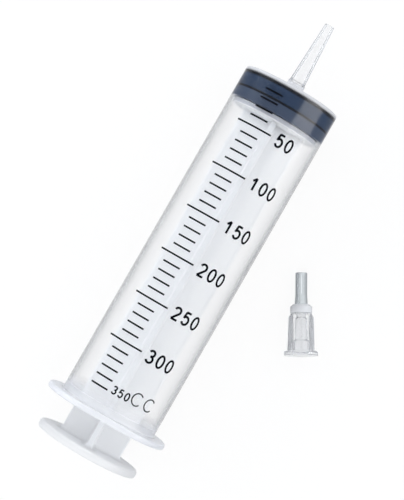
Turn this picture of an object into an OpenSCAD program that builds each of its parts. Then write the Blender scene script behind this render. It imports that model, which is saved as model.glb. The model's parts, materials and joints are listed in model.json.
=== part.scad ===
// Large graduated plastic syringe, lying on a flat surface with its loose nozzle adapter beside it.
// The barrel's axis runs along X, the nozzle points to +X and the printed scale faces up.
// The origin lies on the surface, under the middle of the finger flange. All sizes are in millimetres.

/* [Capacity and scale] */
// Volume at the last mark of the scale, in cubic centimetres
capacity_cc = 350; // [150:50:450]
// Volume between neighbouring marks, in cubic centimetres
mark_step_cc = 10; // [5:5:25]
// Marks from one numbered long mark to the next
marks_per_number = 5; // [2:1:10]
// Width of a printed line
mark_w = 0.9; // [0.3:0.05:1.2]
// Length of a short mark round the barrel
short_mark_len = 10.2; // [5:0.1:14]
// Length of a long mark round the barrel
long_mark_len = 20.2; // [12:0.1:26]
// Distance of the marks' middle from the top line at the stopper, round the barrel to the left
marks_offset = 7.8; // [2:0.1:14]
// Drift of the print to the left over the whole scale, because it sits slightly askew
print_drift = 3.2; // [0:0.1:6]
// Gap between a long mark and its number
number_gap = 3; // [1:0.1:6]
// Height of the numbers
number_h = 7.6; // [4:0.1:9]
// Stroke of the numbers
number_stroke = 1.15; // [0.5:0.05:1.4]
// Gap between the last mark and its small number
last_number_gap = 1.9; // [0.6:0.1:4]
// Height of the small number at the last mark
last_number_h = 4.7; // [3:0.1:7]
// Stroke of the small number
last_number_stroke = 0.8; // [0.4:0.05:1]
// Height of the two unit letters
unit_h = 7.3; // [4:0.1:9]
// Stroke of the unit letters
unit_stroke = 0.65; // [0.4:0.05:1]
// How far the small number and the unit letters reach below the middle of the last mark
last_drop = 0.6; // [0:0.1:2]
// Thickness of the printed ink
ink_t = 0.06; // [0.04:0.01:0.2]
// Gap between the ink and the barrel's outside
ink_gap = 0.02; // [0.01:0.01:0.05]

/* [Barrel] */
// Diameter of the bore
bore_d = 50.2; // [40:0.1:62]
// Wall of the barrel's tube
barrel_wall = 1.6; // [1:0.1:3]
// Thickness of the closed end
end_wall = 1.6; // [1:0.1:4]
// Rounding of the closed end's rim
end_round = 1.2; // [0.4:0.1:2.4]
// Thickness of the finger flange
flange_t = 3.2; // [2.4:0.1:6]
// Reach of the flange's two round wings past the tube
flange_wing = 7.4; // [5:0.1:14]
// Reach of the flange's two flats past the tube
flange_flat_reach = 2.2; // [1:0.1:4]
// Rounding of the wings' rim
flange_round = 1; // [0.3:0.1:1.4]
// Fillet between the tube and the flange
flange_fillet = 1; // [0.4:0.1:1.8]
// Bore left behind the stopper at the last mark
mouth_margin = 0.46; // [0.2:0.02:6]

/* [Nozzle] */
// Length of the tapered nozzle
nozzle_len = 34.2; // [20:0.1:50]
// Diameter of the nozzle at its root
nozzle_root_d = 8.6; // [7:0.1:12]
// Diameter of the nozzle at its tip
nozzle_tip_d = 5.2; // [4.4:0.1:6.6]
// Wall of the nozzle
nozzle_wall = 1.1; // [0.7:0.1:1.6]
// Length of the collar between the closed end and the nozzle
collar_len = 5; // [2:0.1:9]
// Step from the nozzle's root out to the collar
collar_step = 0.4; // [0.2:0.1:1.5]

/* [Stopper] */
// Length of the rubber stopper
stopper_len = 15; // [12:0.1:24]
// Running clearance between the stopper and the bore
stopper_clear = 0.05; // [0.01:0.01:0.1]
// Gap between the pressed-in stopper and the closed end
stopper_end_gap = 0.3; // [0.1:0.1:2]
// Chamfer round the stopper's front and back edges
stopper_edge = 0.6; // [0.3:0.1:1.2]
// Length of the front sealing land
front_land = 8.2; // [5:0.1:10]
// Width of the groove between the sealing lands
seal_groove_w = 1; // [0.6:0.1:2]
// Depth of that groove
seal_groove_depth = 0.9; // [0.4:0.1:2]
// Thickness of the inner lip that holds the plunger's knob
lip_t = 3; // [1.6:0.1:4]

/* [Plunger] */
// Gap between the flange and the thumb plate when pressed in
thumb_gap = 16; // [8:0.1:40]
// Thickness of the thumb plate
thumb_t = 4.2; // [2.5:0.1:8]
// How far the thumb plate's rim stays inside the flange's flats
thumb_set_in = 0.4; // [0.2:0.1:3]
// Rounding of the thumb plate's rim
thumb_round = 1.5; // [0.5:0.1:2]
// Width across the cross-shaped ribs
rib_w = 34; // [20:0.5:38]
// Thickness of the ribs
rib_t = 3; // [2:0.1:5]
// Fillet at the foot of the ribs
rib_fillet = 2.4; // [0.5:0.1:4]
// Gap between the head disc's rim and the bore
head_gap = 1; // [0.4:0.1:3]
// Thickness of the head disc behind the stopper
head_t = 2.6; // [1.5:0.1:4]
// Diameter of the neck inside the stopper's lip
neck_d = 24; // [14:0.5:28]
// Reach of the knob past the neck
knob_reach = 3.6; // [2:0.1:5]
// Length of the knob
knob_len = 5.4; // [3:0.1:6]
// Chamfer round the knob's front edge
knob_chamfer = 1.8; // [0.5:0.1:2.5]
// Running clearance between neck and lip
neck_clear = 0.08; // [0.02:0.01:0.1]
// Clearance round the knob inside the stopper
knob_clear = 0.3; // [0.2:0.05:0.8]
// Clearance along the axis where the rod turns in the stopper
turn_clear = 0.2; // [0.1:0.05:0.5]

/* [Adapter] */
// Place of the adapter's mouth along the syringe, from the middle of the flange
adapter_along = 76.1; // [20:0.1:150]
// Place of the adapter's mouth beside the syringe, from the tube's outside
adapter_aside = 46.7; // [40:0.1:90]
// Turn of the adapter on the surface, in degrees
adapter_turn = 29.1; // [0:0.1:45]
// Length of the wide part of the socket, from the mouth
lead_len = 8; // [4:0.1:12]
// Length of the taper that grips the nozzle's tip
seat_len = 12; // [8:0.1:16]
// Clearance between the nozzle and the taper that it seats in
seat_clear = 0.02; // [0.01:0.01:0.1]
// Step from the taper out to the wide part of the socket
lead_step = 1; // [0.4:0.1:1.5]
// Web between the taper and the tube's seat
web_t = 2.6; // [1.5:0.1:5]
// Diameter of the hole through that web
web_hole_d = 4.2; // [2:0.1:4.8]
// Wall of the hub's core round the wide part of the socket
hub_wall = 1.2; // [0.8:0.1:2]
// Reach of the hub's ribs past the core at the mouth
hub_rib_reach = 1.8; // [0.8:0.1:3]
// Slimming of the ribs' outside towards the collar
hub_draft = 0.6; // [0.2:0.1:1]
// Thickness of the hub's ribs
hub_rib_t = 1.2; // [0.6:0.1:2]
// Number of ribs round the hub
hub_ribs = 8; // [4:1:12]
// Reach of the hub's rim past the ribs
hub_rim_reach = 1.75; // [0.8:0.05:3]
// Thickness of the hub's rim
hub_rim_t = 2.2; // [1:0.1:4]
// Length of the shoulder between the ribs and the collar
hub_shoulder_len = 2.15; // [1:0.05:4]
// Length of the hub's collar
hub_collar_len = 3.5; // [2:0.1:5]
// Wall of the collar round the tube
hub_collar_wall = 2.25; // [1.4:0.05:3]
// Length of the chamfer above the collar
hub_chamfer_len = 1.2; // [0.6:0.1:2]
// Wall left round the tube at the end of that chamfer
hub_brim_wall = 0.75; // [0.4:0.05:1.2]

/* [Adapter tube] */
// Outside diameter of the tube's straight end
tube_d = 6.3; // [5:0.1:8]
// Wall of the tube
tube_wall = 0.7; // [0.4:0.05:1]
// Widening of the tube at its root
tube_flare = 0.35; // [0.1:0.05:0.8]
// Length of the widened root outside the hub
tube_flare_len = 5; // [2:0.1:8]
// Length of the straight end
tube_straight_len = 11.9; // [8:0.1:20]
// Rounding of the tube's free end, for pushing a hose over it
tube_end_round = 0.3; // [0.1:0.05:0.35]
// Length of tube held inside the hub
tube_insert = 4.5; // [3:0.1:8]
// Bond gap between the tube and the hub
tube_bond = 0.05; // [0.02:0.01:0.1]

/* [Hidden] */
$fn = 96;
ARC_STEPS = 6;      // straight steps in a small rounding
GLYPH_STEPS = 20;   // straight steps in a full turn of a printed numeral
CUT = 1;            // overrun of cutting shapes
MM3_PER_CC = 1000;

// Travel of the stopper for a volume, from the bore's area
bore_r = bore_d / 2;
barrel_r = bore_r + barrel_wall;
function travel_of(cc) = cc * MM3_PER_CC / (PI * bore_r * bore_r);
travel = travel_of(capacity_cc);

// Heights above the surface and places along the axis
flange_r = barrel_r + flange_wing;
axis_z = barrel_r + flange_flat_reach;
flange_back = -flange_t / 2;
flange_front = flange_t / 2;
bore_end = flange_back + travel + stopper_len + stopper_end_gap + mouth_margin;
barrel_end = bore_end + end_wall;
nozzle_root = barrel_end + collar_len;
nozzle_tip = nozzle_root + nozzle_len;
stopper_front = bore_end - stopper_end_gap;
stopper_back = stopper_front - stopper_len;
zero_mark = stopper_front - stopper_edge;
thumb_front = flange_back - thumb_gap;
thumb_back = thumb_front - thumb_t;

// Radii of the nozzle, the stopper and the plunger's head
nozzle_root_r = nozzle_root_d / 2;
nozzle_tip_r = nozzle_tip_d / 2;
function nozzle_r(from_tip) = nozzle_tip_r + (nozzle_root_r - nozzle_tip_r) * from_tip / nozzle_len;
land_r = bore_r - stopper_clear;
neck_r = neck_d / 2;
knob_r = neck_r + knob_reach;
lip_r = neck_r + neck_clear;
cavity_r = knob_r + knob_clear;
lip_front = stopper_back + lip_t;
knob_back = lip_front + turn_clear;
knob_front = knob_back + knob_len;
cavity_front = knob_front + turn_clear;
head_r = bore_r - head_gap;
head_front = stopper_back - turn_clear;
head_back = head_front - head_t;
thumb_r = axis_z - thumb_set_in;

// Adapter, measured along its own axis from the mouth
seat_start = lead_len;
seat_end = seat_start + seat_len;
seat_mouth_r = nozzle_r(seat_len) + seat_clear;
seat_tip_r = nozzle_tip_r + seat_clear;
lead_r = seat_mouth_r + lead_step;
tube_seat = seat_end + web_t;
hub_len = tube_seat + tube_insert;
hub_core_r = lead_r + hub_wall;
hub_mouth_r = hub_core_r + hub_rib_reach;
hub_top_r = hub_mouth_r - hub_draft;
hub_rim_r = hub_mouth_r + hub_rim_reach;
tube_r = tube_d / 2;
tube_root_r = tube_r + tube_flare;
tube_bore_r = tube_r - tube_wall;
tube_hole_r = tube_root_r + tube_bond;
hub_collar_r = tube_hole_r + hub_collar_wall;
hub_brim_r = tube_hole_r + hub_brim_wall;
collar_front = hub_len - hub_chamfer_len;
collar_back = collar_front - hub_collar_len;
rib_end = collar_back - hub_shoulder_len;
tube_end = hub_len + tube_flare_len + tube_straight_len;

// The adapter lies on its rim and on whichever of these outer edges meets the surface first
lie_edges = [[rib_end, hub_top_r], [collar_front, hub_collar_r], [tube_end - tube_end_round, tube_r]];
adapter_dip = min([for (e = lie_edges) atan((hub_rim_r - e[1]) / (e[0] - hub_rim_t))]);
adapter_height = hub_rim_r * cos(adapter_dip) + hub_rim_t * sin(adapter_dip);

// Printed ink, as a thin skin just outside the tube
INK = [0.1, 0.11, 0.14];
ink_in = barrel_r + ink_gap;
ink_out = ink_in + ink_t;
DEG_PER_RAD = 180 / PI;
function turn_of(arc) = arc / barrel_r * DEG_PER_RAD;
function marks_middle(cc) = marks_offset + print_drift * cc / capacity_cc;
mark_count = floor(capacity_cc / mark_step_cc);
numeral_w = 0.6;        // width of a numeral over its height
numeral_pitch = 0.76;   // spacing of numerals over their height
unit_w = 0.88;          // width of a unit letter over its height
unit_pitch = 1.05;      // spacing of the unit letters over their height

// Points of a round corner of radius r about a centre, from angle a to angle b
function corner(centre, r, a, b) =
    [for (i = [0:ARC_STEPS]) let (t = a + (b - a) * i / ARC_STEPS) centre + r * [cos(t), sin(t)]];

// Turns a shape built along +Z to lie along the syringe's axis
module along_axis() {
    translate([0, 0, axis_z]) rotate([0, 90, 0]) children();
}

// Turns a shape built along +Z to lie where the loose adapter lies
module along_adapter() {
    translate([adapter_along, -(barrel_r + adapter_aside), adapter_height])
        rotate([0, 0, adapter_turn]) rotate([0, 90 + adapter_dip, 0]) children();
}

// Tube, closed end, collar and hollow nozzle as one turned section
module barrel_section() {
    polygon(concat(
        [[bore_r, flange_back], [barrel_r, flange_back]],
        corner([barrel_r - end_round, barrel_end - end_round], end_round, 0, 90),
        [[nozzle_root_r + collar_step, barrel_end], [nozzle_root_r + collar_step, nozzle_root],
         [nozzle_root_r, nozzle_root], [nozzle_tip_r, nozzle_tip],
         [nozzle_tip_r - nozzle_wall, nozzle_tip], [nozzle_root_r - nozzle_wall, nozzle_root],
         [nozzle_root_r - nozzle_wall, bore_end], [bore_r, bore_end]]));
}

// Round flange section with a rounded rim and a fillet to the tube
module flange_section() {
    rim = flange_r - flange_round;
    fillet_centre = [barrel_r + flange_fillet, flange_front + flange_fillet];
    polygon(concat(
        [[bore_r, flange_back]],
        corner([rim, flange_back + flange_round], flange_round, -90, 0),
        corner([rim, flange_front - flange_round], flange_round, 0, 90),
        corner(fillet_centre, flange_fillet, 270, 180),
        [[bore_r, flange_front + flange_fillet]]));
}

module barrel() {
    color([0.86, 0.88, 0.95, 0.45]) along_axis() union() {
        rotate_extrude() barrel_section();
        intersection() {
            rotate_extrude() flange_section();
            translate([-axis_z, -flange_r, flange_back])
                cube([2 * axis_z, 2 * flange_r, flange_t + flange_fillet + CUT]);
        }
    }
}

// Rubber cup with two sealing lands, a groove between them and a lipped hollow for the knob
module stopper() {
    groove_front = stopper_front - front_land;
    groove_back = groove_front - seal_groove_w;
    groove_r = land_r - seal_groove_depth;
    color([0.16, 0.19, 0.27]) along_axis() rotate_extrude() polygon([
        [0, stopper_front], [land_r - stopper_edge, stopper_front], [land_r, stopper_front - stopper_edge],
        [land_r, groove_front], [groove_r, groove_front], [groove_r, groove_back], [land_r, groove_back],
        [land_r, stopper_back + stopper_edge], [land_r - stopper_edge, stopper_back], [lip_r, stopper_back],
        [lip_r, lip_front], [cavity_r, lip_front], [cavity_r, cavity_front], [0, cavity_front]]);
}

// One flat rib of the rod's cross, flared at the thumb plate
module rod_rib() {
    half = rib_w / 2;
    foot = thumb_front + rib_fillet;
    rotate([90, 0, 0]) translate([0, 0, -rib_t / 2]) linear_extrude(rib_t) polygon(concat(
        [[-half, head_back], [half, head_back]],
        corner([half + rib_fillet, foot], rib_fillet, 180, 270),
        corner([-half - rib_fillet, foot], rib_fillet, 270, 360)));
}

module plunger_rod() {
    rim = thumb_r - thumb_round;
    color([0.93, 0.94, 0.97]) along_axis() union() {
        rotate_extrude() polygon(concat(
            [[0, thumb_back]],
            corner([rim, thumb_back + thumb_round], thumb_round, -90, 0),
            corner([rim, thumb_front - thumb_round], thumb_round, 0, 90),
            [[0, thumb_front]]));
        for (a = [0, 90]) rotate([0, 0, a]) rod_rib();
        rotate_extrude() polygon([
            [0, head_back], [head_r, head_back], [head_r, head_front], [neck_r, head_front],
            [neck_r, knob_back], [knob_r, knob_back], [knob_r, knob_front - knob_chamfer],
            [knob_r - knob_chamfer, knob_front], [0, knob_front]]);
    }
}

// A printed line round the barrel, at the height of a volume
module mark(len, cc) {
    start = 180 - turn_of(marks_middle(cc) + len / 2);
    along_axis() translate([0, 0, zero_mark - travel_of(cc) - mark_w / 2])
        rotate([0, 0, start]) rotate_extrude(angle = turn_of(len))
            translate([ink_in, 0]) square([ink_t, mark_w]);
}

function is_long(i) = i % marks_per_number == 0 && i < mark_count;

module short_marks() {
    color(INK) for (i = [1:mark_count]) if (!is_long(i)) mark(short_mark_len, i * mark_step_cc);
}

module long_marks() {
    color(INK) for (i = [1:mark_count]) if (is_long(i)) mark(long_mark_len, i * mark_step_cc);
}

// Points of an elliptic stroke line in a numeral's unit box
function bow(centre, rx, ry, a, b) =
    let (n = ceil(abs(b - a) * GLYPH_STEPS / 360))
    [for (i = [0:n]) let (t = a + (b - a) * i / n) centre + [rx * cos(t), ry * sin(t)]];

// Open stroke lines of each numeral and of the unit letter C, in a box of 1 by 1
function strokes(c) =
    c == "1" ? [[[0.6, 0], [0.6, 1]], [[0.12, 0.7], [0.6, 1]]] :
    c == "2" ? [concat(bow([0.5, 0.72], 0.47, 0.28, 165, -30), [[0.03, 0]]), [[0, 0], [1, 0]]] :
    c == "3" ? [bow([0.47, 0.76], 0.43, 0.24, 160, -100), bow([0.47, 0.27], 0.5, 0.27, 100, -160)] :
    c == "4" ? [[[0.75, 0], [0.75, 1]], [[0.75, 1], [0, 0.27]], [[0, 0.27], [1, 0.27]]] :
    c == "5" ? [[[0.92, 1], [0.18, 1]], [[0.2, 1.03], [0.08, 0.48]],
                bow([0.48, 0.33], 0.5, 0.33, 146, -155)] :
    c == "6" ? [bow([0.56, 0.5], 0.5, 0.5, 45, 205)] :
    c == "7" ? [[[0, 1], [1, 1]], [[0.98, 1], [0.35, 0]]] :
    c == "9" ? [bow([0.44, 0.5], 0.5, 0.5, 25, -135)] :
    c == "C" ? [bow([0.5, 0.5], 0.5, 0.5, 42, 318)] : [];

// Closed loops of each numeral: centre and radii in the same box
function loops(c) =
    c == "0" ? [[[0.5, 0.5], 0.5, 0.5]] :
    c == "6" ? [[[0.5, 0.31], 0.5, 0.31]] :
    c == "8" ? [[[0.5, 0.76], 0.43, 0.24], [[0.5, 0.26], 0.5, 0.26]] :
    c == "9" ? [[[0.5, 0.69], 0.5, 0.31]] : [];

function unit_vector(v) = v / norm(v);
function heading(p, i) = unit_vector(p[i + 1] - p[i]);

// Sideways step from point i of a line to the edge of a stroke of width w along it
function edge_step(p, i, w) =
    let (last = len(p) - 1,
         before = heading(p, max(i - 1, 0)),
         after = heading(p, min(i, last - 1)),
         along = unit_vector(before + after))
    [-along[1], along[0]] * w / 2 / max(0.5, along * after);

module stroke_line(p, w) {
    last = len(p) - 1;
    polygon(concat([for (i = [0:last]) p[i] + edge_step(p, i, w)],
                   [for (i = [last:-1:0]) p[i] - edge_step(p, i, w)]));
}

// One flat numeral or letter of width w and height h about the origin
module glyph(c, w, h, stroke_w) {
    box = [w - stroke_w, h - stroke_w];
    low = [stroke_w - w, stroke_w - h] / 2;
    function placed(q) = [low[0] + q[0] * box[0], low[1] + q[1] * box[1]];
    union() {
        for (line = strokes(c)) stroke_line([for (q = line) placed(q)], stroke_w);
        for (l = loops(c)) {
            rx = l[1] * box[0];
            ry = l[2] * box[1];
            turns = [for (i = [0:GLYPH_STEPS - 1]) 360 * i / GLYPH_STEPS];
            translate(placed(l[0])) difference() {
                polygon([for (t = turns) [(rx + stroke_w / 2) * cos(t), (ry + stroke_w / 2) * sin(t)]]);
                polygon([for (t = turns) [(rx - stroke_w / 2) * cos(t), (ry - stroke_w / 2) * sin(t)]]);
            }
        }
    }
}

// Thin ring of ink round the tube, along Y
module ink_skin(len) {
    rotate([90, 0, 0]) translate([0, 0, -len / 2]) difference() {
        cylinder(r = ink_out, h = len);
        translate([0, 0, -CUT]) cylinder(r = ink_in, h = len + 2 * CUT);
    }
}

// Characters in a row, each standing on the barrel at its own turn, read with the nozzle up.
// The row starts at an arc to the right of the marks' middle, and its middle rises above the mark.
module printed_row(characters, cc, arc, rise, w, pitch, h, stroke_w) {
    for (i = [0:len(characters) - 1])
        translate([zero_mark - travel_of(cc) + rise, 0, axis_z])
            rotate([turn_of(arc - marks_middle(cc) + w / 2 + i * pitch), 0, 0]) rotate([0, 0, -90])
                intersection() {
                    translate([0, 0, barrel_r - w]) linear_extrude(2 * w)
                        glyph(characters[i], w, h, stroke_w);
                    ink_skin(2 * h);
                }
}

module scale_numbers() {
    last_cc = mark_count * mark_step_cc;
    last_arc = short_mark_len / 2 + last_number_gap;
    last_pitch = numeral_pitch * last_number_h;
    color(INK) union() {
        for (i = [1:mark_count]) if (is_long(i))
            printed_row(str(i * mark_step_cc), i * mark_step_cc, long_mark_len / 2 + number_gap, 0,
                        numeral_w * number_h, numeral_pitch * number_h, number_h, number_stroke);
        printed_row(str(last_cc), last_cc, last_arc, last_number_h / 2 - last_drop,
                    numeral_w * last_number_h, last_pitch, last_number_h, last_number_stroke);
        printed_row("CC", last_cc, last_arc + len(str(last_cc)) * last_pitch, unit_h / 2 - last_drop,
                    unit_w * unit_h, unit_pitch * unit_h, unit_h, unit_stroke);
    }
}

// One rib along the hub, from the rim to the shoulder
module hub_rib() {
    rotate([90, 0, 0]) translate([0, 0, -hub_rib_t / 2]) linear_extrude(hub_rib_t)
        polygon([[hub_core_r - hub_wall / 2, hub_rim_t / 2], [hub_mouth_r, hub_rim_t / 2],
                 [hub_top_r, rib_end], [hub_core_r - hub_wall / 2, collar_back]]);
}

module adapter_hub() {
    color([0.88, 0.9, 0.95, 0.5]) along_adapter() difference() {
        union() {
            rotate_extrude() polygon([
                [0, 0], [hub_rim_r, 0], [hub_rim_r, hub_rim_t], [hub_core_r, hub_rim_t],
                [hub_core_r, collar_back], [hub_collar_r, collar_back], [hub_collar_r, collar_front],
                [hub_brim_r, hub_len], [0, hub_len]]);
            for (i = [0:hub_ribs - 1]) rotate([0, 0, i * 360 / hub_ribs]) hub_rib();
        }
        translate([0, 0, -CUT]) cylinder(r = lead_r, h = lead_len + CUT);
        translate([0, 0, seat_start]) cylinder(r1 = seat_mouth_r, r2 = seat_tip_r, h = seat_len);
        cylinder(r = web_hole_d / 2, h = hub_len);
        translate([0, 0, tube_seat]) cylinder(r = tube_hole_r, h = tube_insert + CUT);
    }
}

module adapter_tube() {
    color([0.72, 0.75, 0.76]) along_adapter() rotate_extrude() polygon(concat(
        [[tube_bore_r, tube_seat], [tube_root_r, tube_seat], [tube_root_r, hub_len],
         [tube_r, hub_len + tube_flare_len]],
        corner([tube_r - tube_end_round, tube_end - tube_end_round], tube_end_round, 0, 90),
        [[tube_bore_r, tube_end]]));
}

barrel();
stopper();
plunger_rod();
short_marks();
long_marks();
scale_numbers();
adapter_hub();
adapter_tube();
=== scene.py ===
"""Looks of a large graduated plastic syringe that lies on a white table with its loose nozzle adapter.

The barrel's axis runs along +X at AXIS_Z, the scale faces +Z, and lengths are in metres.
Turned pieces are drawn as a profile of (place along the axis, radius) carried round that axis.
"""
import json
import math

import bpy
import numpy as np
from mathutils import Matrix, Vector


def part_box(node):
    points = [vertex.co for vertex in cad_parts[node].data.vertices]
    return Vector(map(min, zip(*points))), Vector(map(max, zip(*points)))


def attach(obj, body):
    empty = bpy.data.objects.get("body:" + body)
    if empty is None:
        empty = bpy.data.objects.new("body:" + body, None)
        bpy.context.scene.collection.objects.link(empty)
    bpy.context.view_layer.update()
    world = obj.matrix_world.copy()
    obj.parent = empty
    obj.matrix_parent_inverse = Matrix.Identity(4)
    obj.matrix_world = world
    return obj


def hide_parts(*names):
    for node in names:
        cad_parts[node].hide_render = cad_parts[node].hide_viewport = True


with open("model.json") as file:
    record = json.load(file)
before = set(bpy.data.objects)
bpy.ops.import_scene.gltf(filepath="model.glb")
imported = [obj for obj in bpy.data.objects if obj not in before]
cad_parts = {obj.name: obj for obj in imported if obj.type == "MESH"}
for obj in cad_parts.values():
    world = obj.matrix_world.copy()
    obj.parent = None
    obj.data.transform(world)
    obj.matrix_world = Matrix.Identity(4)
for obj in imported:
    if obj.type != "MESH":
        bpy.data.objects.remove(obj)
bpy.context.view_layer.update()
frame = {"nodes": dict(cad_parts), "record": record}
MM = 0.001

# Places taken from the frame
barrel_low, barrel_high = (np.array(c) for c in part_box("barrel"))
stopper_low, stopper_high = (np.array(c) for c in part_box("stopper"))
rod_low, rod_high = (np.array(c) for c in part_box("plunger_rod"))
mounts = {m["name"]: m for m in frame["record"]["mounts"]}
AXIS_Z = (barrel_low[2] + barrel_high[2]) / 2
FLANGE_R = barrel_high[1]
FLAT = AXIS_Z - barrel_low[2]
FLANGE_BACK = barrel_low[0]
NOZZLE_TIP = barrel_high[0]
TUBE_R = mounts["barrel_grip"]["dims"]["r_mm"] * MM
STOPPER_FRONT, STOPPER_BACK = stopper_high[0], stopper_low[0]
THUMB_BACK, THUMB_R = rod_low[0], rod_high[1]
KNOB_FRONT = rod_high[0]
SOCKET_R = mounts["adapter_socket"]["dims"]["r_mm"] * MM
SPIGOT_R = mounts["hose_spigot"]["dims"]["r_mm"] * MM

# Sizes of the barrel's moulding
WALL = 1.6 * MM
END_WALL = 1.6 * MM
FLANGE_T = 3.2 * MM
NOZZLE_ROOT_R = 4.3 * MM
NOZZLE_TIP_R = 2.6 * MM
NOZZLE_WALL = 1.1 * MM
COLLAR_LEN = 5.0 * MM
COLLAR_STEP = 0.4 * MM
STOPPER_END_GAP = 0.3 * MM
FLANGE_FRONT = FLANGE_BACK + FLANGE_T
BORE_R = TUBE_R - WALL
BORE_END = STOPPER_FRONT + STOPPER_END_GAP
BARREL_END = BORE_END + END_WALL
NOZZLE_ROOT = BARREL_END + COLLAR_LEN

# Sizes of the stopper and the plunger rod. The rubber is pressed on the barrel, so no air shows there
LAND_PRESS = 0.04 * MM
END_PRESS = 0.02 * MM
LAND_R = BORE_R + LAND_PRESS
FRONT_LAND = 8.2 * MM
GROOVE_W = 1.0 * MM
LIP_T = 3.0 * MM
NECK_R = 12.0 * MM
KNOB_R = 15.6 * MM
KNOB_LEN = 5.4 * MM
NECK_CLEAR = 0.08 * MM
KNOB_CLEAR = 0.3 * MM
TURN_CLEAR = 0.2 * MM
HEAD_R = BORE_R - 1.0 * MM
HEAD_T = 2.6 * MM
HEAD_FRONT = STOPPER_BACK - TURN_CLEAR
HEAD_BACK = HEAD_FRONT - HEAD_T
THUMB_T = 4.2 * MM
THUMB_FRONT = THUMB_BACK + THUMB_T
RIB_HALF_W = 17.0 * MM
RIB_HALF_T = 1.5 * MM
RIB_FOOT = 2.4 * MM

# Sizes of the adapter, along its own axis from the mouth
LEAD_LEN = 8.0 * MM
SEAT_END = 20.0 * MM
SEAT_MOUTH_R = SOCKET_R - 1.0 * MM
SEAT_TIP_R = 2.62 * MM
WEB_HOLE_R = 2.1 * MM
TUBE_SEAT = 22.6 * MM
HUB_LEN = 27.1 * MM
HUB_CORE_R = SOCKET_R + 1.2 * MM
HUB_RIB_R = HUB_CORE_R + 1.8 * MM
HUB_RIB_TOP_R = HUB_RIB_R - 0.6 * MM
HUB_RIM_R = HUB_RIB_R + 1.75 * MM
HUB_RIM_T = 2.2 * MM
HUB_RIBS = 8
HUB_RIB_HALF_T = 0.6 * MM
TUBE_ROOT_R = SPIGOT_R + 0.35 * MM
TUBE_HOLE_R = TUBE_ROOT_R + 0.05 * MM
TUBE_BORE_R = SPIGOT_R - 0.7 * MM
TUBE_FLARE_END = HUB_LEN + 5.0 * MM
TUBE_END = TUBE_FLARE_END + 11.9 * MM
HUB_COLLAR_R = TUBE_HOLE_R + 2.25 * MM
HUB_BRIM_R = TUBE_HOLE_R + 0.75 * MM
COLLAR_FRONT = HUB_LEN - 1.2 * MM
COLLAR_BACK = COLLAR_FRONT - 3.5 * MM
HUB_RIB_END = COLLAR_BACK - 2.15 * MM

ROUND_SEGMENTS = 256
ROUND_TURNS = np.linspace(0, 2 * math.pi, ROUND_SEGMENTS, endpoint=False)
SAME_POINT = 1e-7


# Shapes

def arc(x, r, radius, start, end, count=7):
    """Points of a circle of a radius about (x, r), from a start angle to an end angle in degrees."""
    t = np.radians(np.linspace(start, end, count))
    return np.stack([x + radius * np.cos(t), r + radius * np.sin(t)], axis=1)


def line(start, end, count):
    """Points evenly spaced from a start to an end, the end left out."""
    t = np.arange(count)[:, None] / count
    return np.array(start) * (1 - t) + np.array(end) * t


def profile(*stretches):
    """One array of profile points from stretches of points, with repeated points dropped."""
    points = np.concatenate([np.atleast_2d(s) for s in stretches])
    step = np.linalg.norm(np.diff(points, axis=0), axis=1)
    return points[np.concatenate([[True], step > SAME_POINT])]


def grid_faces(rows, columns, wrap_rows):
    """Quads of a grid of rows by columns, whose columns close on themselves and whose rows may."""
    i = np.arange(rows if wrap_rows else rows - 1)[:, None]
    j = np.arange(columns)[None, :]
    below, beside = (i + 1) % rows, (j + 1) % columns
    corners = (i * columns + j, i * columns + beside, below * columns + beside, below * columns + j)
    return np.stack([np.broadcast_to(c, (len(i), columns)).ravel() for c in corners], axis=1)


def make_mesh(name, points, quads, triangles=()):
    """A smooth-shaded object from an array of points, quads and triangles."""
    mesh = bpy.data.meshes.new(name)
    faces = np.asarray(quads).tolist() + np.asarray(triangles, dtype=int).reshape(-1, 3).tolist()
    mesh.from_pydata(points.reshape(-1, 3).tolist(), [], faces)
    mesh.update()
    mesh.shade_smooth()
    made = bpy.data.objects.new(name, mesh)
    bpy.context.collection.objects.link(made)
    return made


def capped_mesh(name, rings, poles):
    """A closed object from rows of ring points, closed by a fan to a pole at the first and the last ring."""
    rows, columns = rings.shape[:2]
    j = np.arange(columns)
    beside = (j + 1) % columns
    last_row = (rows - 1) * columns
    first_pole = rows * columns
    last_pole = first_pole + 1
    fans = np.concatenate([
        np.stack([np.full(columns, first_pole), beside, j], axis=1),
        np.stack([np.full(columns, last_pole), last_row + j, last_row + beside], axis=1)])
    points = np.concatenate([rings.reshape(-1, 3), poles])
    return make_mesh(name, points, grid_faces(rows, columns, False), fans)


def on_axis(along, radius, turn):
    """Points round the syringe's axis: the turn is 0 straight up and grows towards -Y."""
    parts = np.broadcast_arrays(along, -radius * np.sin(turn), AXIS_Z + radius * np.cos(turn))
    return np.stack(parts, axis=-1)


def turned_ring(name, points, place=on_axis, turns=ROUND_TURNS, radius=None):
    """A hollow turned piece: a closed profile carried round an axis, closed both ways.

    The radius is the profile's own, or an array of profile points by turns."""
    radius = points[:, 1:] if radius is None else radius
    xyz = place(points[:, :1], radius, turns[None, :])
    return make_mesh(name, xyz, grid_faces(len(points), len(turns), True))


def turned_solid(name, points):
    """A solid turned piece: an open profile from its front pole over the outside to its back pole.

    It is carried round the syringe's axis from the back to the front, so that its faces point outwards."""
    points = points[::-1]
    rings = on_axis(points[1:-1, :1], points[1:-1, 1:], ROUND_TURNS[None, :])
    poles = on_axis(points[[0, -1], 0], points[[0, -1], 1], 0.0)
    return capped_mesh(name, rings, poles)


def flange_reach(turn):
    """Radius of the flange's outline: a circle cut by two flats above and below, with eased corners.

    It is the soft minimum of the circle's radius and the flats' distance over the cosine of the turn."""
    ease = 40
    flats = np.abs(np.cos(turn)) / FLAT
    return (flats ** ease + FLANGE_R ** -ease) ** (-1 / ease)


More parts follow.
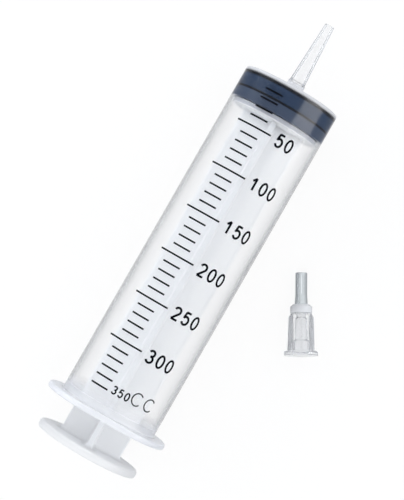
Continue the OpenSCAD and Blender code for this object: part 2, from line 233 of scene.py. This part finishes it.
def barrel_moulding():
    """Tube, flange, closed end, collar and hollow nozzle in one closed profile, outside first.

    What reaches beyond the tube is stretched, at each turn, to end at the flange's outline."""
    rim = 1.0 * MM
    fillet = 1.0 * MM
    end_round = 1.2 * MM
    foot = 0.5 * MM
    lip = 0.45 * MM
    collar_edge = 0.25 * MM
    tip_edge = 0.35 * MM
    tip_taper_turn = 87
    mouth_edge = 0.2 * MM
    bore_round = 0.8 * MM
    collar_r = NOZZLE_ROOT_R + COLLAR_STEP
    root_bore_r = NOZZLE_ROOT_R - NOZZLE_WALL
    tip_bore_r = NOZZLE_TIP_R - NOZZLE_WALL
    outside = profile(
        [[FLANGE_BACK, BORE_R + lip]],
        line([FLANGE_BACK, TUBE_R], [FLANGE_BACK, FLANGE_R - rim], 5),
        arc(FLANGE_BACK + rim, FLANGE_R - rim, rim, 180, 90),
        arc(FLANGE_FRONT - rim, FLANGE_R - rim, rim, 90, 0),
        line([FLANGE_FRONT, FLANGE_R - rim], [FLANGE_FRONT, TUBE_R + fillet], 5),
        arc(FLANGE_FRONT + fillet, TUBE_R + fillet, fillet, 180, 270),
        line([FLANGE_FRONT + fillet, TUBE_R], [BARREL_END - end_round, TUBE_R], 40),
        arc(BARREL_END - end_round, TUBE_R - end_round, end_round, 90, 0, 9),
        line([BARREL_END, TUBE_R - end_round], [BARREL_END, collar_r + foot], 8),
        arc(BARREL_END + foot, collar_r + foot, foot, 180, 270),
        arc(NOZZLE_ROOT - collar_edge, collar_r - collar_edge, collar_edge, 90, 0, 5),
        line([NOZZLE_ROOT, NOZZLE_ROOT_R], [NOZZLE_TIP - tip_edge, NOZZLE_TIP_R], 24),
        arc(NOZZLE_TIP - tip_edge, NOZZLE_TIP_R - tip_edge, tip_edge, tip_taper_turn, 0, 6),
        arc(NOZZLE_TIP - mouth_edge, tip_bore_r + mouth_edge, mouth_edge, 0, -90, 4))
    inside = profile(
        line([NOZZLE_TIP - mouth_edge, tip_bore_r], [NOZZLE_ROOT, root_bore_r], 16),
        line([NOZZLE_ROOT, root_bore_r], [BORE_END + foot, root_bore_r], 3),
        arc(BORE_END + foot, root_bore_r + foot, foot, 270, 180, 5),
        line([BORE_END, NOZZLE_ROOT_R + foot], [BORE_END, BORE_R - bore_round], 8),
        arc(BORE_END - bore_round, BORE_R - bore_round, bore_round, 0, 90, 7),
        line([BORE_END - bore_round, BORE_R], [FLANGE_BACK + lip, BORE_R], 40),
        arc(FLANGE_BACK + lip, BORE_R + lip, lip, 270, 190, 5))
    points = profile(outside, inside)
    share = np.clip((points[:, 1:] - TUBE_R) / (FLANGE_R - TUBE_R), 0, 1)
    radius = np.minimum(points[:, 1:], TUBE_R) + share * (flange_reach(ROUND_TURNS)[None, :] - TUBE_R)
    return turned_ring("barrel_moulding", points, radius=radius)


def rubber_stopper():
    """Rubber cup: its front and two sealing lands are pressed on the bore, and a lipped hollow opens behind.

    The bore squeezes the groove between the lands almost shut: its depth is a squared sine along it.
    The profile is drawn from the hollow's floor, round the back, to the front, and then reversed."""
    back_edge = 0.6 * MM
    front_edge = 0.8 * MM
    groove_depth = 0.03 * MM
    groove_front = STOPPER_FRONT - FRONT_LAND
    groove_back = groove_front - GROOVE_W
    lip_front = STOPPER_BACK + LIP_T
    lip_r = NECK_R + NECK_CLEAR
    hollow_front = lip_front + KNOB_LEN + 2 * TURN_CLEAR
    hollow_r = KNOB_R + KNOB_CLEAR
    front = BORE_END + END_PRESS
    groove = np.linspace(0, 1, 13)
    groove_r = LAND_R - groove_depth * np.sin(math.pi * groove) ** 2
    from_hollow = profile(
        [[hollow_front, 0]],
        line([hollow_front, hollow_r / 6], [hollow_front, hollow_r], 5),
        line([hollow_front, hollow_r], [lip_front, hollow_r], 4),
        line([lip_front, hollow_r], [lip_front, lip_r], 3),
        line([lip_front, lip_r], [STOPPER_BACK, lip_r], 3),
        line([STOPPER_BACK, lip_r], [STOPPER_BACK, LAND_R - back_edge], 6),
        arc(STOPPER_BACK + back_edge, LAND_R - back_edge, back_edge, 180, 90),
        line([STOPPER_BACK + back_edge, LAND_R], [groove_back, LAND_R], 5),
        np.stack([groove_back + GROOVE_W * groove, groove_r], axis=1),
        line([groove_front, LAND_R], [front - front_edge, LAND_R], 6),
        arc(front - front_edge, LAND_R - front_edge, front_edge, 90, 0),
        line([front, LAND_R - front_edge], [front, LAND_R / 10], 8),
        [[front, 0]])
    return turned_solid("rubber_stopper", from_hollow[::-1])


def thumb_plate():
    """Round plate with a rounded rim, slightly dished at the back."""
    rim = 1.5 * MM
    rim_width = 4.0 * MM
    dish = 0.35 * MM
    inner = THUMB_R - rim_width
    floor = THUMB_BACK + dish
    return turned_solid("thumb_plate", profile(
        [[THUMB_FRONT, 0]],
        line([THUMB_FRONT, inner / 10], [THUMB_FRONT, THUMB_R - rim], 8),
        arc(THUMB_FRONT - rim, THUMB_R - rim, rim, 0, 90, 9),
        arc(THUMB_BACK + rim, THUMB_R - rim, rim, 90, 180, 9),
        line([THUMB_BACK, THUMB_R - rim], [THUMB_BACK, inner], 3),
        line([THUMB_BACK, inner], [floor, inner - dish], 3),
        line([floor, inner - dish], [floor, inner / 10], 8),
        [[floor, 0]]))


def rod_head():
    """Head disc behind the stopper, with the neck and the knob that the stopper holds."""
    soft = 0.4 * MM
    chamfer = 1.8 * MM
    knob_back = KNOB_FRONT - KNOB_LEN
    return turned_solid("rod_head", profile(
        [[KNOB_FRONT, 0]],
        line([KNOB_FRONT, NECK_R / 5], [KNOB_FRONT, KNOB_R - chamfer], 4),
        line([KNOB_FRONT, KNOB_R - chamfer], [KNOB_FRONT - chamfer, KNOB_R], 3),
        line([KNOB_FRONT - chamfer, KNOB_R], [knob_back, KNOB_R], 3),
        line([knob_back, KNOB_R], [knob_back, NECK_R], 3),
        line([knob_back, NECK_R], [HEAD_FRONT, NECK_R], 3),
        line([HEAD_FRONT, NECK_R], [HEAD_FRONT, HEAD_R - soft], 6),
        arc(HEAD_FRONT - soft, HEAD_R - soft, soft, 0, 90),
        arc(HEAD_BACK + soft, HEAD_R - soft, soft, 90, 180),
        line([HEAD_BACK, HEAD_R - soft], [HEAD_BACK, HEAD_R / 10], 8),
        [[HEAD_BACK, 0]]))


def rod_ribs():
    """Cross-shaped rod: one arm's outline turned four times makes the section, carried from plate to head.

    An arm keeps its width and thickness, and both flare as a quarter circle over its foot at the plate.
    Its ends sink a little into the plate and the head disc."""
    tip_round = 0.5 * MM
    root_round = 1.2 * MM
    sink = 0.2 * MM
    tip = arc(0, RIB_HALF_T - tip_round, tip_round, 0, 90, 5)
    root = arc(RIB_HALF_T + root_round, RIB_HALF_T + root_round, root_round, 270, 180, 7)
    foot = np.linspace(0, 1, 9)
    along = np.concatenate([
        [THUMB_FRONT - sink], THUMB_FRONT + RIB_FOOT * (1 - np.cos(foot * math.pi / 2)),
        np.linspace(THUMB_FRONT + RIB_FOOT, HEAD_BACK + sink, 40)[1:]])
    rise = np.clip((along - THUMB_FRONT) / RIB_FOOT, 0, 1)
    flare = RIB_FOOT * (1 - np.sqrt(1 - (1 - rise) ** 2))[:, None]
    tip_u = RIB_HALF_W - tip_round + flare + tip[None, :, 0]
    tip_v = flare + tip[None, :, 1]
    root_u = flare + root[None, :, 0]
    root_v = flare + root[None, :, 1]
    arm_u = np.concatenate([tip_u[:, ::-1], tip_u, root_u], axis=1)[:, None, :]
    arm_v = np.concatenate([-tip_v[:, ::-1], tip_v, root_v], axis=1)[:, None, :]
    turns = np.radians([0, 90, 180, 270])[None, :, None]
    u = (arm_u * np.cos(turns) - arm_v * np.sin(turns)).reshape(len(along), -1)
    v = (arm_u * np.sin(turns) + arm_v * np.cos(turns)).reshape(len(along), -1)
    rings = np.stack([np.broadcast_to(along[:, None], u.shape), u, AXIS_Z + v], axis=-1)
    poles = np.array([[along[0], 0, AXIS_Z], [along[-1], 0, AXIS_Z]])
    return capped_mesh("rod_ribs", rings, poles)


adapter_axis = np.array(mounts["hose_spigot"]["axis"])
adapter_axis = adapter_axis / np.linalg.norm(adapter_axis)
adapter_mouth = np.array(mounts["adapter_socket"]["pos_m"]) - adapter_axis * LEAD_LEN / 2
adapter_side = np.cross([0.0, 0.0, 1.0], adapter_axis)
adapter_side = adapter_side / np.linalg.norm(adapter_side)
adapter_up = np.cross(adapter_axis, adapter_side)


def on_adapter(along, radius, turn):
    """Points round the adapter's axis: the turn is 0 straight up and grows to the right of the axis."""
    along, out_up, out_side = np.broadcast_arrays(along, radius * np.cos(turn), -radius * np.sin(turn))
    middle = adapter_mouth + along[..., None] * adapter_axis
    return middle + out_up[..., None] * adapter_up + out_side[..., None] * adapter_side


def adapter_hub():
    """Clear hub: a closed profile whose outside swells from the core to the ribs at evenly spaced turns.

    On a rib's turns the radius is the profile's own plus the rib's rise, which runs out at the collar."""
    soft = 0.35 * MM
    brim_turn = 60
    rib_side = 0.12 * MM
    along = np.concatenate([
        np.linspace(HUB_RIM_T, HUB_RIB_END, 14), np.linspace(HUB_RIB_END, COLLAR_BACK, 5)[1:]])
    core = np.stack([along, np.full(len(along), HUB_CORE_R)], axis=1)
    rib_r = np.interp(along, [HUB_RIM_T, HUB_RIB_END, COLLAR_BACK], [HUB_RIB_R, HUB_RIB_TOP_R, HUB_CORE_R])
    rim = profile(
        arc(soft, SOCKET_R + soft, soft, 270, 180, 5),
        line([0, SOCKET_R + soft], [0, HUB_RIM_R - soft], 5),
        arc(soft, HUB_RIM_R - soft, soft, 180, 90, 5),
        arc(HUB_RIM_T - soft, HUB_RIM_R - soft, soft, 90, 0, 5))
    collar_and_socket = profile(
        arc(COLLAR_BACK + soft, HUB_COLLAR_R - soft, soft, 180, 90, 5),
        line([COLLAR_FRONT, HUB_COLLAR_R], [HUB_LEN - soft, HUB_BRIM_R + soft], 4),
        arc(HUB_LEN - soft, HUB_BRIM_R, soft, brim_turn, 0, 4),
        line([HUB_LEN, TUBE_HOLE_R], [TUBE_SEAT, TUBE_HOLE_R], 4),
        [[TUBE_SEAT, TUBE_HOLE_R]],
        line([TUBE_SEAT, WEB_HOLE_R], [SEAT_END, WEB_HOLE_R], 3),
        [[SEAT_END, WEB_HOLE_R]],
        line([SEAT_END, SEAT_TIP_R], [LEAD_LEN, SEAT_MOUTH_R], 8),
        [[LEAD_LEN, SEAT_MOUTH_R]],
        line([LEAD_LEN, SOCKET_R], [soft, SOCKET_R], 6))
    points = profile(rim, core, collar_and_socket)
    gap = math.pi / HUB_RIBS
    crest = HUB_RIB_HALF_T / HUB_RIB_R
    root = HUB_RIB_HALF_T / HUB_CORE_R
    near = rib_side / HUB_CORE_R
    half = np.concatenate([
        np.linspace(-gap, -root - near, 6), [-root, -crest], np.linspace(-crest + near, 0, 3)])
    sector = np.concatenate([half[:-1], -half[::-1][:-1]])
    turns = (np.arange(HUB_RIBS)[:, None] * 2 * gap + sector).ravel()
    on_rib = np.tile((np.abs(sector) < (crest + root) / 2).astype(float), HUB_RIBS)
    lift = np.zeros(len(points))
    lift[len(rim):len(rim) + len(core)] = rib_r - core[:, 1]
    radius = points[:, 1:] + lift[:, None] * on_rib[None, :]
    return turned_ring("adapter_hub_moulding", points, on_adapter, turns, radius)


def adapter_tube():
    """Tube with a slightly flared root in the hub and a rounded free end."""
    soft = 0.25 * MM
    end = TUBE_END - soft
    points = profile(
        [[TUBE_SEAT, TUBE_BORE_R]],
        line([TUBE_SEAT, TUBE_ROOT_R], [HUB_LEN, TUBE_ROOT_R], 3),
        line([HUB_LEN, TUBE_ROOT_R], [TUBE_FLARE_END, SPIGOT_R], 6),
        line([TUBE_FLARE_END, SPIGOT_R], [end, SPIGOT_R], 8),
        arc(end, SPIGOT_R - soft, soft, 90, 0, 5),
        arc(end, TUBE_BORE_R + soft, soft, 0, -90, 5),
        line([end, TUBE_BORE_R], [TUBE_SEAT, TUBE_BORE_R], 12))
    return turned_ring("adapter_steel_tube", points, on_adapter)


# Materials

class Value:
    """A socket's value inside one material, so that shader sums are written as plain sums."""

    def __init__(self, tree, socket):
        self.tree = tree
        self.socket = socket

    def math(self, operation, *others):
        inputs = {0: self, **{i + 1: other for i, other in enumerate(others)}}
        return self.tree.node("ShaderNodeMath", {"operation": operation}, inputs)

    def __add__(self, other):
        return self.math("ADD", other)

    def __mul__(self, other):
        return self.math("MULTIPLY", other)

    def __sub__(self, other):
        return self.math("SUBTRACT", other)

    def __rsub__(self, other):
        return self.tree.node("ShaderNodeMath", {"operation": "SUBTRACT"}, {0: other, 1: self})

    __radd__ = __add__
    __rmul__ = __mul__

    def rise(self, start, end):
        """0 up to a start and 1 from an end, eased between them."""
        inputs = {"Value": self, "From Min": start, "From Max": end}
        return self.tree.node("ShaderNodeMapRange", {"interpolation_type": "SMOOTHSTEP"}, inputs)


class Nodes:
    """A node tree, with one method that adds any node."""

    def __init__(self, tree):
        self.tree = tree

    def node(self, kind, settings=None, inputs=None, output=0):
        """Adds a node of a kind with its settings, then its sockets' values or links, and gives an output."""
        made = self.tree.nodes.new(kind)
        for key, value in (settings or {}).items():
            setattr(made, key, value)
        for key, value in (inputs or {}).items():
            self.feed(made.inputs[key], value)
        return Value(self, made.outputs[output])

    def feed(self, socket, value):
        """Links a value to a socket, or sets a plain number or colour on it."""
        if isinstance(value, Value):
            self.tree.links.new(value.socket, socket)
        else:
            socket.default_value = value

    def ray(self, kind):
        """1 on rays of a kind, such as Camera or Glossy, and 0 on others."""
        return self.node("ShaderNodeLightPath", output=f"Is {kind} Ray")


class Finish(Nodes):
    """One material, built on Object coordinates."""

    def __init__(self, name):
        self.material = bpy.data.materials.new(name)
        self.material.use_nodes = True
        super().__init__(self.material.node_tree)
        self.tree.nodes.remove(self.tree.nodes["Principled BSDF"])

    def place(self):
        """Object coordinates."""
        return self.node("ShaderNodeTexCoord", output="Object")

    def along(self):
        """Place along the syringe's axis."""
        return self.node("ShaderNodeSeparateXYZ", {}, {0: self.place()}, output="X")

    def out(self):
        """Distance from the syringe's axis."""
        sideways = self.node("ShaderNodeVectorMath", {"operation": "MULTIPLY_ADD"},
                             {0: self.place(), 1: (0, 1, 1), 2: (0, 0, -AXIS_Z)})
        return self.node("ShaderNodeVectorMath", {"operation": "LENGTH"}, {0: sideways}, output="Value")

    def along_adapter(self):
        """Place along the adapter's axis, from its mouth."""
        inputs = {0: self.place(), 1: tuple(adapter_axis)}
        reach = self.node("ShaderNodeVectorMath", {"operation": "DOT_PRODUCT"}, inputs, output="Value")
        return reach - float(adapter_mouth @ adapter_axis)

    def noise(self, scale, detail=3.0, stretch=(1, 1, 1)):
        """Noise with about scale lumps a metre, drawn out where the stretch is below 1."""
        place = self.node("ShaderNodeMapping", {}, {"Vector": self.place(), "Scale": stretch})
        return self.node("ShaderNodeTexNoise", {}, {"Vector": place, "Scale": scale, "Detail": detail})

    def facing(self):
        """0 where a surface is met squarely and 1 where it is met at a grazing angle."""
        return self.node("ShaderNodeLayerWeight", {}, {"Blend": 0.5}, output="Facing")

    def glance(self, start, end):
        """0 where clear plastic is met squarely and 1 near its outline, where the way through it is long; it
        sets where shade is painted.
        """
        return self.facing().rise(start, end)

    def blend(self, share, first, second):
        """The first colour where the share is 0 and the second where it is 1."""
        return self.node("ShaderNodeMix", {"data_type": "RGBA"}, {0: share, 6: first, 7: second}, output=2)

    def bump(self, height, strength, distance):
        """A normal that follows a height."""
        inputs = {"Height": height, "Strength": strength, "Distance": distance}
        return self.node("ShaderNodeBump", {}, inputs)

    def principled(self, **inputs):
        """A Principled shader, with its sockets' names written with underscores."""
        named = {key.replace("_", " "): value for key, value in inputs.items()}
        return self.node("ShaderNodeBsdfPrincipled", {}, named)

    def mix(self, share, first, second):
        """The first shader where the share is 0 and the second where it is 1."""
        return self.node("ShaderNodeMixShader", {}, {0: share, 1: first, 2: second})

    def surface(self, shader):
        """Puts a shader on the material's surface, and gives the finish."""
        self.feed(self.tree.nodes["Material Output"].inputs["Surface"], shader)
        return self

    def on(self, piece):
        """Gives a piece this finish alone."""
        piece.data.materials.clear()
        piece.data.materials.append(self.material)


WHITE = (1.0, 1.0, 1.0, 1)


def barrel_plastic():
    """Barrel: a hazy clear tube with faint flow clouds, milky where the moulding is thick.

    Clear plastic has painted shade towards its outline, most of all on the nozzle."""
    cool_clear = (0.993, 0.995, 1.0, 1)
    # painted shade: the grey that the clear plastic's colour turns to near its outline
    outline_painted_shade = (0.28, 0.30, 0.34, 1)
    cool_milk = (0.925, 0.93, 0.955, 1)
    pale_milk = (0.955, 0.957, 0.972, 1)
    lit_through = (0.88, 0.89, 0.93, 1)
    haze_length = 10 * MM
    f = Finish("barrel_plastic")
    cloud = f.noise(scale=60.0, stretch=(0.25, 1, 1))
    flange = f.out().rise(TUBE_R + 0.15 * MM, TUBE_R + 1.0 * MM)
    by_flange = 1 - f.along().rise(FLANGE_FRONT, FLANGE_FRONT + haze_length)
    end = f.along().rise(BORE_END - 1 * MM, BORE_END + 1 * MM)
    nozzle = f.along().rise(NOZZLE_ROOT - 2 * MM, NOZZLE_ROOT)
    waves = f.noise(scale=90.0, detail=2.0, stretch=(0.3, 1, 1)) * (1 - end)
    ripple = f.bump(waves, strength=0.03, distance=0.4 * MM)
    # where the painted outline shade falls, strongest on the nozzle
    nozzle_outline = f.glance(0.4, 0.75) * nozzle
    outline = nozzle_outline.math("MAXIMUM", 0.42 * f.glance(0.5, 1.0))
    clear = f.principled(
        Base_Color=f.blend(outline, f.blend(cloud, cool_clear, WHITE), outline_painted_shade),
        Roughness=0.16 + 0.08 * cloud - 0.12 * nozzle, Transmission_Weight=1.0, IOR=1.25, Normal=ripple)
    milk_face = f.principled(
        Base_Color=f.blend(cloud, cool_milk, pale_milk), Roughness=0.3 + 0.1 * cloud, IOR=1.49,
        Normal=ripple)
    milk = f.mix(0.2, milk_face, f.node("ShaderNodeBsdfTranslucent", {}, {"Color": lit_through}))
    haze = 0.001 + 0.006 * cloud + 0.4 * by_flange
    thick = haze.math("MAXIMUM", 0.75 * flange) + 0.85 * end - 0.80 * nozzle
    return f.surface(f.mix(thick, clear, milk))


def stopper_rubber():
    """Stopper: dark slate rubber with a faint bloom and a fine grain, darkest in the groove and in front,
    where shadow is painted.

    The front land is a little darker and bluer than the back one."""
    # painted shadow for the groove and the front edge
    shadow = (0.001, 0.003, 0.008, 1)
    back_dark = (0.048, 0.067, 0.113, 1)
    back_bloom = (0.061, 0.086, 0.142, 1)
    front_dark = (0.018, 0.036, 0.078, 1)
    front_bloom = (0.028, 0.054, 0.112, 1)
    groove_mid = STOPPER_FRONT - FRONT_LAND - GROOVE_W / 2
    f = Finish("stopper_rubber")
    bloom = f.noise(scale=180.0, detail=4.0)
    # masks that keep the painted shadow to the groove and to the front edge
    off_groove = (f.along() - groove_mid).math("ABSOLUTE").rise(0.45 * GROOVE_W, 0.8 * GROOVE_W)
    off_front = 1 - f.along().rise(STOPPER_FRONT - 2.0 * MM, STOPPER_FRONT - 1.2 * MM)
    front = f.along().rise(groove_mid - 1 * MM, groove_mid + 1 * MM)
    back_land = f.blend(bloom, back_dark, back_bloom)
    front_land = f.blend(bloom, front_dark, front_bloom)
    land = f.blend(front, back_land, front_land)
    grain = f.bump(f.noise(scale=2500.0, detail=2.0), strength=0.1, distance=0.1 * MM)
    return f.surface(f.principled(
        Base_Color=f.blend(off_groove * off_front, shadow, land), Roughness=0.5 + 0.2 * bloom,
        Specular_IOR_Level=0.06, Normal=grain))


def rod_plastic():
    """Plunger rod: pale bluish moulding with a soft sheen and faint flow marks along its length.

    It has a little painted shade at the ribs' outer edges, and painted shade on the head disc behind the
    stopper."""
    cool_white = (0.945, 0.955, 0.98, 1)
    pale_white = (0.975, 0.98, 0.99, 1)
    # painted shade for the ribs' outer edges
    rib_edge_painted_shade = (0.45, 0.46, 0.50, 1)
    # painted shade for the head disc behind the stopper
    head_painted_shade = (0.50, 0.51, 0.55, 1)
    f = Finish("rod_plastic")
    flow = f.noise(scale=70.0, stretch=(0.2, 1, 1))
    at_head = f.along().rise(HEAD_BACK + 0.1 * MM, HEAD_BACK + 0.6 * MM)
    off_plate = f.along().rise(THUMB_FRONT, THUMB_FRONT + 1 * MM)
    # where the painted shade on the ribs' outer edges falls
    rib_edge_shade = f.out().rise(RIB_HALF_W - 2.5 * MM, RIB_HALF_W - 0.5 * MM) * off_plate
    ribs_colour = f.blend(0.12 * rib_edge_shade, f.blend(flow, cool_white, pale_white), rib_edge_painted_shade)
    skin = f.bump(f.noise(scale=260.0, detail=2.0), strength=0.06, distance=0.4 * MM)
    # the head disc takes the painted shade
    return f.surface(f.principled(
        Base_Color=f.blend(at_head, ribs_colour, head_painted_shade), Roughness=0.34 + 0.12 * flow, IOR=1.46,
        Normal=skin, Subsurface_Weight=1.0, Subsurface_Radius=(1.0, 1.0, 1.0), Subsurface_Scale=1.5 * MM))


def scale_ink():
    """Print: near-black ink with slightly uneven cover."""
    full_black = (0.0008, 0.001, 0.002, 1)
    worn_black = (0.004, 0.005, 0.008, 1)
    f = Finish("scale_ink")
    cover = f.noise(scale=900.0)
    return f.surface(f.principled(
        Base_Color=f.blend(cover, full_black, worn_black), Roughness=0.6 + 0.2 * cover,
        Specular_IOR_Level=0.02))


def hub_plastic():
    """Adapter hub: clear moulding with a slightly hazy body and a hazier collar, and painted shade towards
    its outline.
    """
    cool_clear = (0.985, 0.988, 0.995, 1)
    # painted shade: the grey that the clear plastic's colour turns to near its outline
    outline_painted_shade = (0.88, 0.90, 0.94, 1)
    cool_milk = (0.93, 0.935, 0.955, 1)
    pale_milk = (0.965, 0.97, 0.98, 1)
    f = Finish("hub_plastic")
    cloud = f.noise(scale=300.0)
    collar = f.along_adapter().rise(COLLAR_BACK - 0.5 * MM, COLLAR_BACK + 0.5 * MM)
    # where the painted outline shade falls; it also thins the haze there
    outline = f.glance(0.45, 0.9)
    clear = f.principled(
        Base_Color=f.blend(outline, f.blend(cloud, cool_clear, WHITE), outline_painted_shade),
        Roughness=0.05 + 0.06 * cloud, Transmission_Weight=1.0, IOR=1.2)
    milk = f.principled(
        Base_Color=f.blend(cloud, cool_milk, pale_milk), Roughness=0.2 + 0.1 * cloud)
    haze = 0.14 + 0.10 * cloud - 0.10 * outline + 0.5 * collar
    return f.surface(f.mix(haze, clear, milk))


def tube_steel():
    """Adapter tube: drawn steel with fine marks."""
    dark_steel = (0.60, 0.63, 0.64, 1)
    bright_steel = (0.69, 0.72, 0.73, 1)
    f = Finish("tube_steel")
    marks = f.noise(scale=900.0, detail=4.0)
    return f.surface(f.principled(
        Base_Color=f.blend(marks, dark_steel, bright_steel), Metallic=1.0, Roughness=0.16 + 0.08 * marks))


# Pieces: each rides on a body, stands for a CAD node and takes its finish; the CAD print stays

barrel = barrel_moulding()
stopper = rubber_stopper()
plate = thumb_plate()
ribs = rod_ribs()
head = rod_head()
hub = adapter_hub()
tube = adapter_tube()

for piece, body, node, slot, finish in (
        (barrel, "barrel", "barrel", "barrel_plastic", barrel_plastic()),
        (stopper, "stopper", "stopper", "stopper_rubber", stopper_rubber()),
        (hub, "adapter", "adapter_hub", "adapter_plastic", hub_plastic()),
        (tube, "adapter", "adapter_tube", "tube_steel", tube_steel())):
    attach(piece, body)
    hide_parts(node)
    finish.on(piece)

rod_finish = rod_plastic()
for piece in (plate, ribs, head):
    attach(piece, "plunger")
    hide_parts("plunger_rod")
    rod_finish.on(piece)

ink = scale_ink()
for node in ("short_marks", "long_marks", "scale_numbers"):
    ink.on(frame["nodes"][node])


# Camera: above, leaning a little towards the thumb plate, and turned so that the nozzle points to the
# upper right

CAMERA_DISTANCE = 0.940
CAMERA_LEAN = 0.0122
AIM = Vector((0.0982, -0.00036, AXIS_Z))
NOZZLE_TURN = math.radians(29.86)
IMAGE_HEIGHT_PX = 500
PIXEL = 0.51694 * MM
SENSOR = 36.0
camera_data = bpy.data.cameras.new("camera")
camera_data.sensor_width = SENSOR
camera_data.lens = CAMERA_DISTANCE / PIXEL * SENSOR / IMAGE_HEIGHT_PX
camera = bpy.data.objects.new("camera", camera_data)
bpy.context.collection.objects.link(camera)
camera_back = Vector((-CAMERA_LEAN, 0, CAMERA_DISTANCE)).normalized()
camera_right = Vector((math.sin(NOZZLE_TURN), -math.cos(NOZZLE_TURN), 0))
camera_right = (camera_right - camera_right.dot(camera_back) * camera_back).normalized()
camera_up = camera_back.cross(camera_right)
camera_place = AIM + CAMERA_DISTANCE * camera_back
camera.matrix_world = Matrix((
    (camera_right.x, camera_up.x, camera_back.x, camera_place.x),
    (camera_right.y, camera_up.y, camera_back.y, camera_place.y),
    (camera_right.z, camera_up.z, camera_back.z, camera_place.z),
    (0, 0, 0, 1)))
bpy.context.scene.camera = camera


# Table: white, and it keeps a soft shadow

TABLE_HALF = 2.0
TABLE_GLOW = 0.90
table_corners = [(TABLE_HALF * x, TABLE_HALF * y, 0) for x, y in ((-1, -1), (1, -1), (1, 1), (-1, 1))]
table_mesh = bpy.data.meshes.new("table")
table_mesh.from_pydata(table_corners, [], [(0, 1, 2, 3)])
table = bpy.data.objects.new("table", table_mesh)
bpy.context.collection.objects.link(table)


def white_table():
    """Matt white sheet: plain white where it is seen.

    It is so too in a gloss or through clear plastic, where that look meets it squarely."""
    lit_dark = (0.54, 0.54, 0.55, 1)
    lit_pale = (0.58, 0.58, 0.59, 1)
    seen_dark = (0.94, 0.94, 0.94, 1)
    seen_pale = (0.98, 0.98, 0.98, 1)
    f = Finish("white_table")
    grain = f.noise(scale=400.0)
    straight = f.ray("Camera")
    through = f.ray("Transmission")
    seen = straight.math("MAXIMUM", 0.6 * through)
    sheet = f.principled(
        Base_Color=f.blend(seen, f.blend(grain, lit_dark, lit_pale), f.blend(grain, seen_dark, seen_pale)),
        Roughness=0.8, Specular_IOR_Level=0.1)
    glow = f.node("ShaderNodeEmission", {}, {"Color": WHITE, "Strength": 1.0})
    squarely = (1 - f.facing()).rise(0.80, 0.98)
    second_look = f.ray("Glossy").math("MAXIMUM", through) * squarely * 0.93
    return f.surface(f.mix(TABLE_GLOW * straight.math("MAXIMUM", second_look), sheet, glow))


white_table().on(table)


# Room: pale, brighter towards the syringe's ends, and dimmer low down at its sides

ROOM_COLOUR = (0.95, 0.97, 1.0, 1)
ROOM_OVERHEAD = 0.92
ROOM_ENDS = 0.55
ROOM_SIDES = 0.60
world = bpy.data.worlds.new("pale_room")
bpy.context.scene.world = world
world.use_nodes = True
room = Nodes(world.node_tree)
toward = room.node("ShaderNodeTexCoord", output="Generated")
endways, sideways, upward = (
    room.node("ShaderNodeSeparateXYZ", {}, {0: toward}, output=axis) for axis in "XYZ")
low_down = 1 - upward.rise(0.5, 0.95)
brightness = ROOM_OVERHEAD + ROOM_ENDS * endways * endways - ROOM_SIDES * sideways * sideways * low_down
seen_straight = room.ray("Camera")
background = world.node_tree.nodes["Background"]
room.feed(background.inputs["Color"], ROOM_COLOUR)
room.feed(background.inputs["Strength"], seen_straight + (1 - seen_straight) * brightness)


# Lamps: a soft box on each side and a weak one for the rod's outer end, and strips for gloss alone

LEFT, RIGHT = -1, 1
COOL_LIGHT = (0.92, 0.97, 1.03)
WARM_LIGHT = (1.0, 0.99, 0.97)
WHITE_LIGHT = (1.0, 1.0, 1.0)


def soft_box(name, side, radiance, along=0.1, distance=0.8, length=1.2, low=50, high=90, colour=COOL_LIGHT):
    """A rectangular lamp beside the barrel, from a low to a high angle off the vertical on one side.

    The side is RIGHT towards -Y or LEFT towards +Y. Its power is its radiance times pi times its area."""
    middle = math.radians((low + high) / 2)
    height = 2 * distance * math.tan(math.radians(high - low) / 2)
    data = bpy.data.lights.new(name, "AREA")
    data.shape = "RECTANGLE"
    data.size = length
    data.size_y = height
    data.energy = radiance * math.pi * length * height
    data.color = colour
    lamp = bpy.data.objects.new(name, data)
    bpy.context.collection.objects.link(lamp)
    aim = Vector((along, 0, AXIS_Z))
    lamp.location = aim + distance * Vector((0, -side * math.sin(middle), math.cos(middle)))
    lamp.rotation_euler = (aim - lamp.location).to_track_quat("-Z", "Y").to_euler()
    return lamp


left_box = soft_box("left_box", LEFT, radiance=1.85)
right_box = soft_box("right_box", RIGHT, radiance=0.9)
front_strip = soft_box(
    "front_strip", RIGHT, radiance=11.5, along=0.355, distance=1.2, length=0.19, low=34, high=88,
    colour=WARM_LIGHT)
back_strip = soft_box(
    "back_strip", RIGHT, radiance=4.6, along=0.046, distance=1.2, length=0.47, low=34, high=72,
    colour=WARM_LIGHT)
steel_strip = soft_box(
    "steel_strip", RIGHT, radiance=0.9, distance=1.2, length=0.6, low=-10, high=10, colour=WHITE_LIGHT)
rod_fill = soft_box("rod_fill", LEFT, radiance=0.4)
right_box.visible_glossy = False
for strip in (front_strip, back_strip, steel_strip):
    strip.visible_diffuse = False
    strip.visible_transmission = False

# A lamp leaves out the pieces listed with EXCLUDE, or lights only those listed with INCLUDE
for lamp, pieces, state in (
        (left_box, (tube, plate, ribs), "EXCLUDE"),
        (right_box, (plate,), "EXCLUDE"),
        (front_strip, (tube, hub), "EXCLUDE"),
        (back_strip, (tube, hub), "EXCLUDE"),
        (steel_strip, (tube,), "INCLUDE"),
        (rod_fill, (plate, ribs), "INCLUDE")):
    group = bpy.data.collections.new("linked_to_" + lamp.name)
    for piece in pieces:
        group.objects.link(piece)
    lamp.light_linking.receiver_collection = group
    for member in group.collection_objects:
        member.light_linking.link_state = state

bpy.context.scene.view_settings.view_transform = "Standard"
